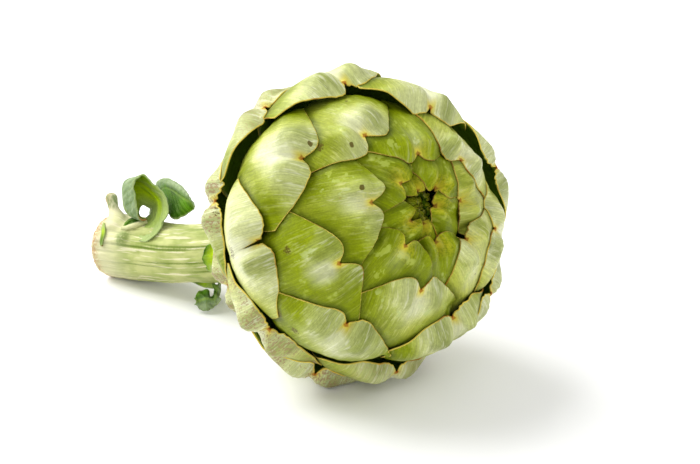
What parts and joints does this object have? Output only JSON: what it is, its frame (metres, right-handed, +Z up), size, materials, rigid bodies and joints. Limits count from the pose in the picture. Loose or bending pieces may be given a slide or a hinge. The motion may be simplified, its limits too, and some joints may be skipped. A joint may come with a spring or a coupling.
{
  "type": "artichoke",
  "caption": "Globe artichoke lying on its side: a head of overlapping notched bracts on a thick cut stem with a few curled leaves.",
  "frame": {"origin": "on the surface it rests on, under the middle of its bounding box", "axes": "+Z up, +X the way the head's tip points seen from above, the stem running back towards -X"},
  "size_m": [0.1827, 0.1126, 0.1131],
  "materials": {
    "bracts": "waxy pale green skin with fine lengthwise lines, yellow-brown rims and notches, satin",
    "stem": "ribbed pale green and cream skin, dry brown cut end, satin",
    "leaves": "veined leaf, deep green above and downy grey-green below"
  },
  "bodies": {
    "root": {"head": "bracts", "stem": "stem", "leaf_curled": "leaves", "leaf_pointed": "leaves", "leaf_under": "leaves", "leaf_crinkled": "leaves"}
  },
  "joints": []
}
